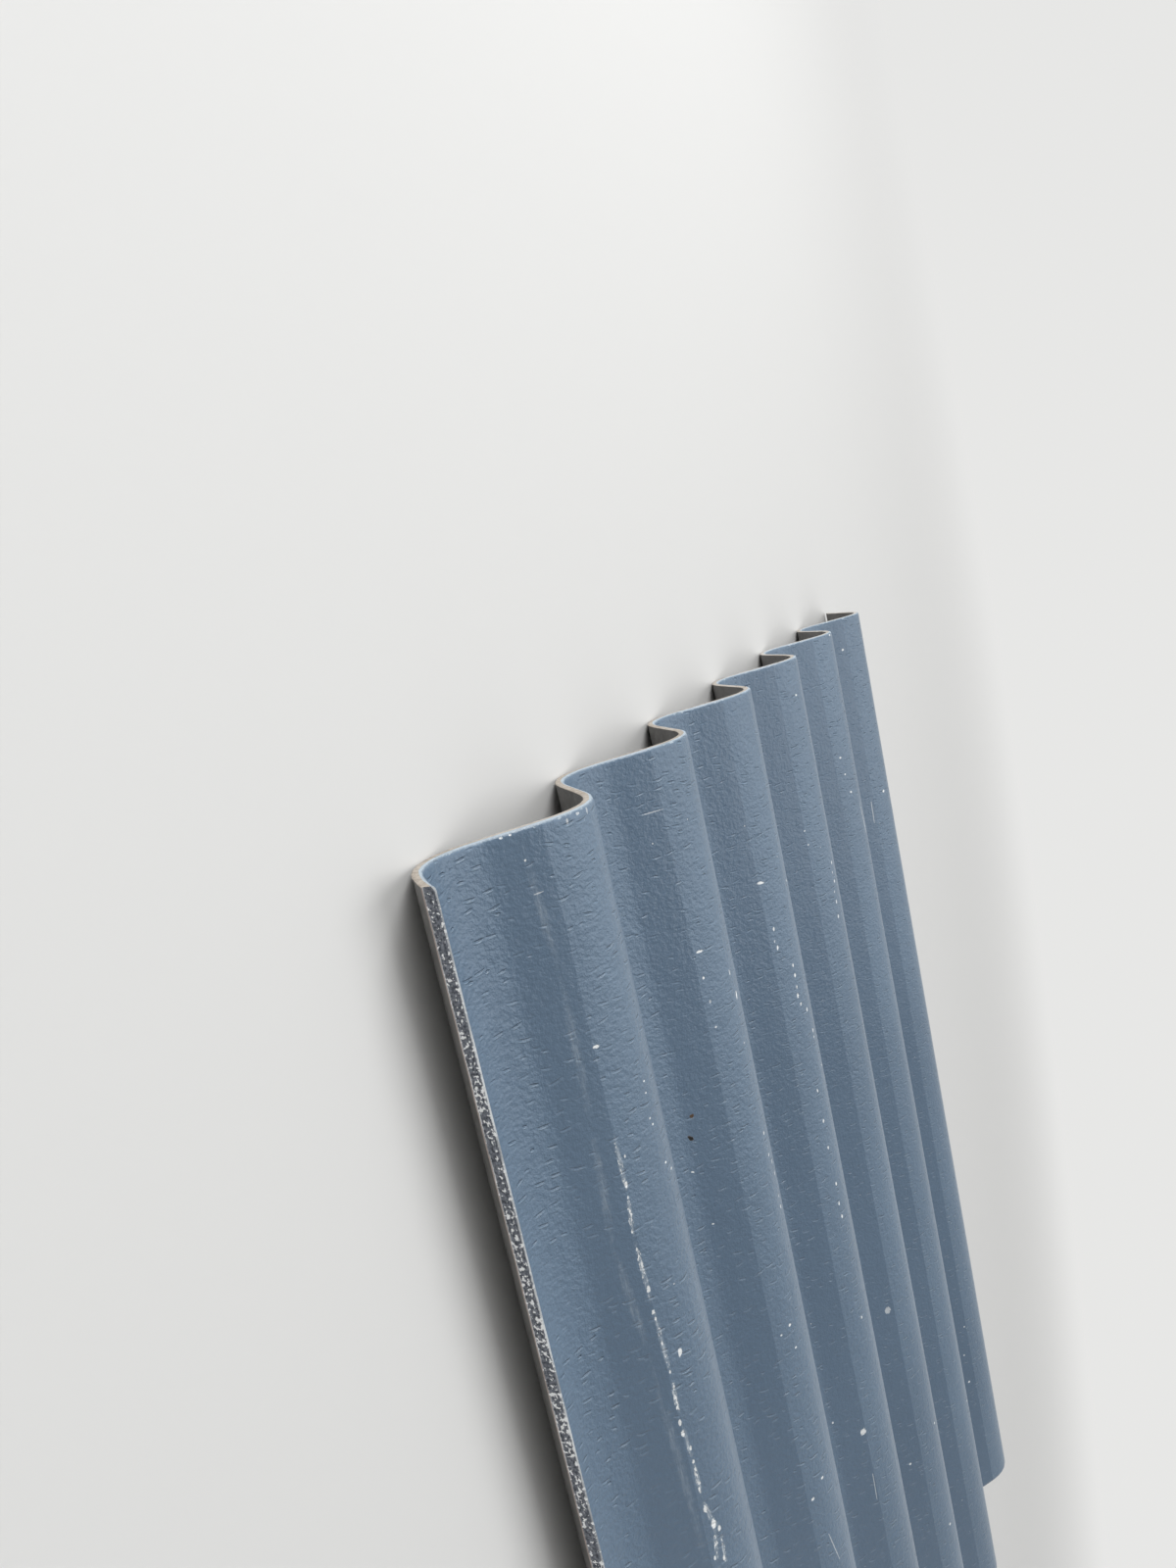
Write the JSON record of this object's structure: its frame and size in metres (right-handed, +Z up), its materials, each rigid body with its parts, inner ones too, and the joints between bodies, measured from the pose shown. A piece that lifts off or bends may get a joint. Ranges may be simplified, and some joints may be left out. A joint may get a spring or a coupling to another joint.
{
  "type": "corrugated fibre-cement sheet",
  "caption": "Rigid corrugated roofing sheet of fibre-cement with a dark coating, waves along its length, cut square at the ends, one side edge rising, the other falling.",
  "frame": {"origin": "centre of the sheet's outline, on the plane that the undersides of its troughs rest on", "axes": "+Z up out of the weather face, +Y along the waves towards the end that is uppermost in the picture, +X across the waves from the rising side edge to the falling one"},
  "size_m": [1.097, 1.22, 0.057],
  "materials": {
    "coated_fibre_cement": "satin slate-blue coating over grey-tan fibre-cement that shows at the cut edges"
  },
  "bodies": {
    "root": {"corrugated_sheet": "coated_fibre_cement"}
  },
  "joints": []
}
